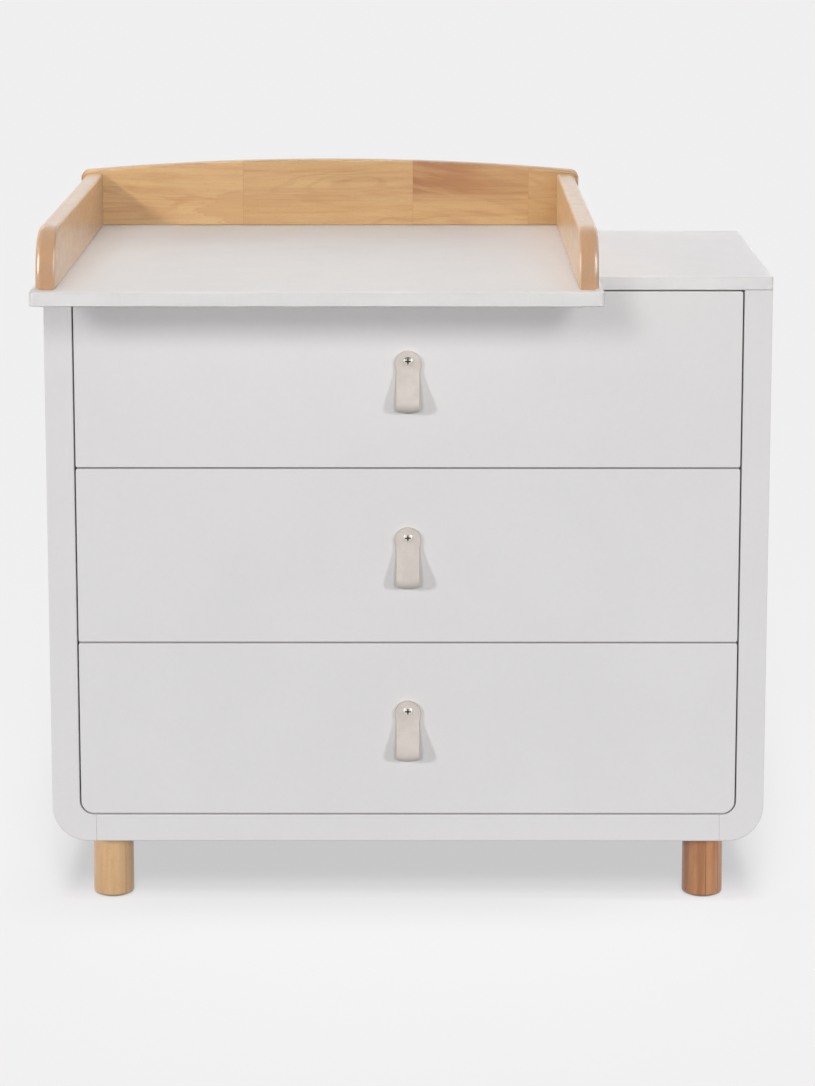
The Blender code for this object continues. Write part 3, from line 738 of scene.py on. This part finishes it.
def respaced(points, tips, spacing):
    """The path's points, closely spaced over the length of its two round tips and evenly between."""
    lengths = [0.0]
    for a, b in zip(points, points[1:]):
        lengths.append(lengths[-1] + (b - a).length)
    total = lengths[-1]
    steps = 18
    near = [tips * (1 - cos(radians(90 * i / steps))) for i in range(steps + 1)]
    even = int((total - 2 * tips) / spacing)
    stops = near + [tips + (total - 2 * tips) * i / even for i in range(1, even)]
    stops += [total - s for s in near[::-1]]
    out = []
    k = 0
    for stop in stops:
        while k < len(lengths) - 2 and lengths[k + 1] < stop:
            k += 1
        share = (stop - lengths[k]) / max(lengths[k + 1] - lengths[k], 1e-9)
        out.append(points[k].lerp(points[k + 1], min(max(share, 0.0), 1.0)))
    return out


def strap_section(half_width, half_thickness):
    """Cross-section with softly rounded cut edges, as (across, out) points, and which are cut edge."""
    r = min(CUT_EDGE, half_width * 0.45)
    flat = half_width - r
    points, edge = [], []
    columns = 7
    for sign in (1, -1):
        for i in range(columns):
            share = 1 - 2 * i / (columns - 1)
            points.append((sign * share * flat, sign * half_thickness))
            edge.append(i == columns - 1)
        for k in range(1, 4):
            t = radians(90 + 180 * k / 4)
            points.append((sign * (cos(t) * r - flat), sign * sin(t) * half_thickness))
            edge.append(True)
    return points, edge


def make_pull(word):
    """A drawer's leather strap and the screw that holds both its ends."""
    body = word + "_drawer"
    node = word + "_drawer_pull"
    low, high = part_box(node)
    screw_low, screw_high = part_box(node + "_screw")
    middle = (screw_low.z + screw_high.z) / 2
    head, drop = high.z - middle, middle - low.z
    face = high.y + FIT
    path = respaced(strap_path(head, drop), HEAD_HALF_WIDTH * 0.9, 0.0016)
    rings = []
    for i, point in enumerate(path):
        before, after = path[max(i - 1, 0)], path[min(i + 1, len(path) - 1)]
        along = (after - before).normalized()
        out = Vector((-along.y, along.x))
        # widths follow height on both layers, with the very tips kept open
        half = max(strap_half_width(point.y, head), 0.0007)
        section, edge = strap_section(half, STRAP / 2)
        ring = []
        sag = FOLD_SAG * max(0.0, 1 - (point.y + drop) / FOLD_SAG_REACH) ** 2
        for across, off in section:
            at = point + out * off
            ring.append((across, face - at.x, middle + at.y + sag * (across / half) ** 2))
        rings.append(ring)
    flags = strap_section(0.01, STRAP / 2)[1]
    # The cut edges take the darker edge material: the raw edge's own colour, and partly painted shade along
    # the outline.
    strap = mesh_from_rings(word + "_pull_strap", rings, [LEATHER, LEATHER_EDGE_AND_SHADE],
                            pick_look=lambda k, i: 1 if flags[i] else 0)
    settle(strap, body, "pale_leather", node)
    screw = add_screw(word + "_pull_screw_head", PULL_SCREW, (0, face - SCREW_SEAT, middle), (0, -1, 0))
    settle(screw, body, "screw", word + "_drawer_pull_screw")


def cross_cutter(dome, reach):
    """Two crossed tapering blades that cut a screw's recess down from above its head; their faces carry
    near-black painted shade into the recess.
    """
    made = bmesh.new()
    levels = ((dome + 0.0006, reach, 0.19 * reach), (0.35 * dome, 0.41 * reach, 0.095 * reach))
    for turn in (0, 90):
        rotation = Matrix.Rotation(radians(turn), 4, "Z")
        rows = []
        for height, x, y in levels:
            corners = ((-x, -y), (x, -y), (x, y), (-x, y))
            rows.append([made.verts.new(rotation @ Vector((*corner, height))) for corner in corners])
        for i in range(4):
            j = (i + 1) % 4
            made.faces.new((rows[0][i], rows[0][j], rows[1][j], rows[1][i]))
        made.faces.new(rows[0][::-1])
        made.faces.new(rows[1])
    bmesh.ops.recalc_face_normals(made, faces=made.faces)
    mesh = bpy.data.meshes.new("cross")
    made.to_mesh(mesh)
    made.free()
    # The blades' near-black material becomes painted shade on the faces of the recess.
    mesh.materials.append(RECESS_PAINTED_SHADE.material)
    return linked("cross", mesh)


def screw_mesh(radius, dome, shank, length, reach):
    """A cross-recessed pan head with its seat at height 0 and its shank below, the recess lined with
    near-black painted shade.
    """
    profile = [(0.0004, -length), (shank, shank - length), (shank, 0), (0.95 * radius, 0),
               (0.985 * radius, 0.0001), (radius, 0.3 * dome)]
    profile += [(radius * i / 8, dome * (1 - 0.55 * (i / 8) ** 2)) for i in range(8, 0, -1)]
    profile.append((0.0004, dome))
    head = turned("screw", profile, Matrix(), NICKEL, 48)
    head.modifiers.clear()
    cross = cross_cutter(dome, reach)
    cut = head.modifiers.new("recess", "BOOLEAN")
    cut.solver = "EXACT"
    cut.use_self = True
    cut.material_mode = "TRANSFER"
    cut.object = cross
    mesh = bpy.data.meshes.new_from_object(head.evaluated_get(bpy.context.evaluated_depsgraph_get()))
    bpy.data.objects.remove(cross)
    bpy.data.objects.remove(head)
    return mesh


def add_screw(name, pattern, seat, outward):
    mesh = pattern.copy()
    turn = Vector(outward).to_track_quat("Z", "X").to_matrix().to_4x4()
    mesh.transform(Matrix.Translation(seat) @ turn)
    mesh.shade_smooth()
    mesh.set_sharp_from_angle(angle=radians(30))
    return linked(name, mesh)


PULL_SCREW = screw_mesh(radius=0.0060, dome=0.0030, shank=0.0020, length=0.0203, reach=0.0056)
WOOD_SCREW = screw_mesh(radius=0.0042, dome=0.0020, shank=0.0019, length=0.0120, reach=0.0036)


def make_drawers():
    """Fronts, pulls, and the boxes and runners behind them."""
    make_fronts()
    for word in DRAWERS:
        make_pull(word)
        for piece in ("left_side", "right_side", "back"):
            dress(f"{word}_drawer_{piece}", FOIL, SAWN_EASE)
        dress(f"{word}_drawer_bottom", FOIL)
        for side, _ in SIDES:
            for rail in ("cabinet_rail", "middle_rail", "drawer_rail"):
                dress(f"{word}_{side}_{rail}", ZINC)


# ---------------------------------------------------------------- changing top
def side_rail_outline(low, high):
    """Side view of a side rail, (y, z): the end against the back rail stays put, and its foot nearly."""
    def outline(inset):
        foot = low.z + min(inset, FOOT_EASE)
        points = [(low.y + inset, foot), (high.y, foot), (high.y, high.z - inset)]
        centre = (low.y + RAIL_NOSE, high.z - RAIL_NOSE)
        return points + arc(centre, RAIL_NOSE - inset, 90, 180, 28)
    return outline


def back_rail_outline(low, high):
    """Front view of the back rail: straight foot, round shoulders and an arched top edge."""
    middle, half = (low.x + high.x) / 2, (high.x - low.x) / 2
    end_top = high.z - BACK_RAIL_CROWN
    reach = half - BACK_RAIL_CORNER
    arch_radius = (reach ** 2 + BACK_RAIL_CROWN ** 2) / (2 * BACK_RAIL_CROWN)
    arch_centre = high.z - arch_radius

    def outline(inset):
        corner = BACK_RAIL_CORNER - inset
        foot = low.z + min(inset, FOOT_EASE)
        points = [(-half + inset, foot), (half - inset, foot)]
        points += arc((reach, end_top - BACK_RAIL_CORNER), corner, 0, 86, 10)
        steps = 48
        for i in range(steps + 1):
            x = reach * (1 - 2 * i / steps)
            points.append((x, arch_centre + sqrt((arch_radius - inset) ** 2 - x ** 2)))
        points += arc((-reach, end_top - BACK_RAIL_CORNER), corner, 94, 180, 10)
        return [(middle + x, z) for x, z in points]
    return outline


def make_changer():
    """The changing board, its three rails and the screws of its brackets."""
    low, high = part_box("changer_board")
    outline = rectangle(low.x, high.x, low.y, high.y, (BOARD_CORNER,) * 4, steps=8)
    eases = (BOARD_EASE, BOARD_EASE)
    board = rounded_prism("changing_board", outline, "Z", low.z, high.z, eases, BOARD_WHITE, steps=6)
    settle(board, "chest", "white_lacquer", "changer_board")
    for word, eases, seed in (("left", (RAIL_OUTER_EASE, RAIL_INNER_EASE), (0.4, 0.9, 0.2)),
                              ("right", (RAIL_INNER_EASE, RAIL_OUTER_EASE), (3.3, 1.7, 2.4))):
        low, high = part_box(f"changer_{word}_rail")
        outline = side_rail_outline(low, high)
        look = side_rail_look(word + "_rail_wood_look", seed)
        rail = rounded_prism("changer_rail_" + word, outline, "X", low.x, high.x, eases, look, steps=8)
        settle(rail, "chest", "rubberwood", f"changer_{word}_rail")
    low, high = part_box("changer_back_rail")
    outline = back_rail_outline(low, high)
    look = stave_rail_look("back_rail_wood_look", low, high)
    eases = (BACK_RAIL_EASE, BACK_RAIL_EASE)
    rail = rounded_prism("changer_rail_back", outline, "Y", low.y, high.y, eases, look, steps=6)
    settle(rail, "chest", "rubberwood", "changer_back_rail")
    for word, _ in SIDES:
        make_bracket_screws(word)


def make_bracket_screws(word):
    """Two screws through each leg of a bracket, into the back rail and into the chest's top."""
    node = word + "_changer_bracket"
    dress(node, ZINC, BRACKET_EASE)
    low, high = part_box(node)
    middle, half = (low.x + high.x) / 2, (high.x - low.x) / 2
    for number, x in enumerate((middle - half / 2, middle + half / 2), 1):
        seats = (("rail", (x, low.y + BRACKET_STEEL + SCREW_GAP, high.z - half), (0, 1, 0)),
                 ("top", (x, high.y - half, low.z + BRACKET_STEEL + SCREW_GAP), (0, 0, 1)))
        for place, seat, outward in seats:
            screw = add_screw(f"{word}_bracket_{place}_screw_{number}", WOOD_SCREW, seat, outward)
            settle(screw, "chest", "screw")


def make_back():
    """The thin back board and the row of nails round its edge."""
    dress("back_panel", HARDBOARD, BACK_EASE)
    low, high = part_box("back_panel")
    x0, x1 = low.x + NAIL_FROM_EDGE, high.x - NAIL_FROM_EDGE
    z0, z1 = low.z + 2 * NAIL_FROM_EDGE, high.z - NAIL_FROM_EDGE
    spots = [(x0 + (x1 - x0) * i / NAILS_ACROSS, z) for i in range(NAILS_ACROSS + 1) for z in (z0, z1)]
    spots += [(x, z0 + (z1 - z0) * i / NAILS_UP) for i in range(1, NAILS_UP) for x in (x0, x1)]
    profile = [(0.0002, -0.003), (0.0008, -0.003), (0.0008, 0.00008), (0.0022, 0.00008),
               (0.0022, 0.0002), (0.0015, 0.0004), (0.0002, 0.00045)]
    for number, (x, z) in enumerate(spots, 1):
        placing = Matrix.Translation((x, high.y, z)) @ Matrix.Rotation(radians(-90), 4, "X")
        nail = turned(f"back_nail_{number}", profile, placing, ZINC, 14)
        settle(nail, "chest", "zinc_steel")


# ---------------------------------------------------------------- stage
FLOOR_ALBEDO = (0.200, 0.197, 0.199)
FLOOR_BOUNCE = 0.18     # share of the floor's albedo that throws the lamps' light on to the pieces
FLOOR_GLOW = 0.570
FLOOR_GLOW_ON_PIECES = 0.02
FLOOR_LIGHT = 0.500     # what each floor lamp gives the open floor
FLOOR_HALF_SIZE = 90.0
BACKDROP = 0.872
MIRRORED = 0.85         # the backdrop's brightness in reflections
AMBIENT = 0.02          # and as light on the pieces


def make_floor():
    """A pale floor lit partly from within, like a light table, that runs on into the backdrop.

    It throws less light on the pieces than it shows."""
    made = bmesh.new()
    bmesh.ops.create_grid(made, x_segments=2, y_segments=2, size=FLOOR_HALF_SIZE)
    mesh = bpy.data.meshes.new("studio_floor")
    made.to_mesh(mesh)
    made.free()
    floor = linked("studio_floor", mesh)
    look = Look("studio_floor_look")
    look.set(Roughness=0.9)
    look.shader.inputs["Specular IOR Level"].default_value = 0.0
    look.shader.inputs["Emission Color"].default_value = (1.0, 0.992, 0.997, 1.0)
    thrown = look.new("ShaderNodeLightPath").outputs["Is Diffuse Ray"]
    look.set(Base_Color=look.blend(thrown, FLOOR_ALBEDO, scaled(FLOOR_ALBEDO, FLOOR_BOUNCE)))
    look.set(Emission_Strength=look.remap(thrown, 0.0, 1.0, FLOOR_GLOW, FLOOR_GLOW_ON_PIECES, smooth=False))
    look.material.cycles.emission_sampling = "NONE"
    mesh.materials.append(look.material)
    return floor


def make_backdrop():
    """A pale world whose brightness differs for the camera, for reflections and as ambient light."""
    world = bpy.data.worlds.new("studio")
    bpy.context.scene.world = world
    world.use_nodes = True
    world.cycles.sampling_method = "NONE"
    tree = world.node_tree
    background = tree.nodes["Background"]
    background.inputs["Color"].default_value = (1.0, 1.0, 1.0, 1.0)
    path = tree.nodes.new("ShaderNodeLightPath")
    level = None
    for ray, strength in (("Camera", BACKDROP), ("Glossy", MIRRORED), ("Diffuse", AMBIENT)):
        part = tree.nodes.new("ShaderNodeMath")
        part.operation = "MULTIPLY_ADD"
        tree.links.new(path.outputs[f"Is {ray} Ray"], part.inputs[0])
        part.inputs[1].default_value = strength
        part.inputs[2].default_value = 0.0
        if level:
            tree.links.new(level, part.inputs[2])
        level = part.outputs[0]
    tree.links.new(level, background.inputs["Strength"])


def group_of(name, *pieces):
    """A light-linking group of these pieces."""
    group = bpy.data.collections.new(name)
    for piece in pieces:
        group.objects.link(piece)
    return group


def group_without(name, *pieces):
    """A light-linking group that stands for everything but these pieces."""
    group = group_of(name, *pieces)
    for member in group.collection_objects:
        member.light_linking.link_state = "EXCLUDE"
    return group


def add_sun(name, azimuth, elevation, level, softness, lights, blockers=None, glints=True):
    """A far lamp that lights one group. Azimuth 0 is in front of the drawers and 90 to their right.

    level is what it gives a surface square to it, as a share of full white, and softness its
    width in degrees. Only the blockers, if any are named, cast shadows in it."""
    data = bpy.data.lights.new(name, "SUN")
    data.energy = level * pi
    data.angle = radians(softness)
    lamp = linked(name, data)
    a, e = radians(azimuth), radians(elevation)
    towards = Vector((sin(a) * cos(e), -cos(a) * cos(e), sin(e)))
    lamp.rotation_euler = towards.to_track_quat("Z", "Y").to_euler()
    lamp.light_linking.receiver_collection = lights
    lamp.light_linking.blocker_collection = blockers
    lamp.visible_glossy = glints
    return lamp


def make_lights(floor):
    """Lamps for the floor alone, soft ones round the pieces, keys and fills in front, and softboxes.

    The floor's lamps are apart, so that its shadow and the pieces' shading are set on their own."""
    named = bpy.data.objects
    board = named["changing_board"]
    rails = [named["changer_rail_" + word] for word in ("left", "right", "back")]
    screws = [named[word + "_pull_screw_head"] for word in DRAWERS]
    the_floor = group_of("the_floor", floor)
    the_rails = group_of("the_rails", *rails)
    the_tops = group_of("the_tops", board, named["chest_top"])
    the_glossy = group_of("the_glossy_pieces", *rails[:2], *screws)
    left_rail = group_of("the_left_rail", rails[0])
    pieces = group_without("all_but_the_floor", floor)
    other_pieces = group_without("all_but_the_floor_and_the_rails", floor, *rails)
    past_changer = group_without("all_but_the_changing_top", board, *rails)

    for number, elevation in enumerate((38, 54, 72), 1):
        level = FLOOR_LIGHT / sin(radians(elevation))
        add_sun(f"floor_lamp_{number}", 0, elevation, level, 16, the_floor)
    add_sun("overhead", 180, 76, 0.21, 80, pieces, glints=False)
    add_sun("behind", 165, 13, 0.56, 50, pieces, glints=False)
    add_sun("left_side", -102, 9, 0.42, 40, pieces, glints=False)
    add_sun("right_side", 102, 9, 0.42, 40, pieces, glints=False)
    add_sun("left_key", -13, 15.5, 0.221, 9, other_pieces, glints=False)
    add_sun("right_key", 10, 15.5, 0.221, 9, pieces, glints=False)
    add_sun("left_fill", -46, 17, 0.300, 7, other_pieces, past_changer, glints=False)
    add_sun("right_fill", 38, 17, 0.262, 9, pieces, past_changer, glints=False)
    add_sun("rails_lamp", -44, 26, 0.62, 7, the_rails, left_rail, glints=False)
    add_sun("rails_fill", -44, 26, 0.22, 7, the_rails, past_changer, glints=False)
    add_sun("tops_lamp", -70, 62, 0.14, 24, the_tops, left_rail, glints=False)
    for word, side in SIDES:
        softbox = add_sun(word + "_softbox", 66 * side, 19, 0.95, 34, the_glossy)
        softbox.visible_diffuse = False


make_carcass()
make_legs()
make_drawers()
make_changer()
make_back()
dress("lower_cross_rail", WHITE, SAWN_EASE)
dress("upper_cross_rail", WHITE, SAWN_EASE)
make_backdrop()
make_lights(make_floor())
bpy.context.scene.view_settings.view_transform = "Standard"
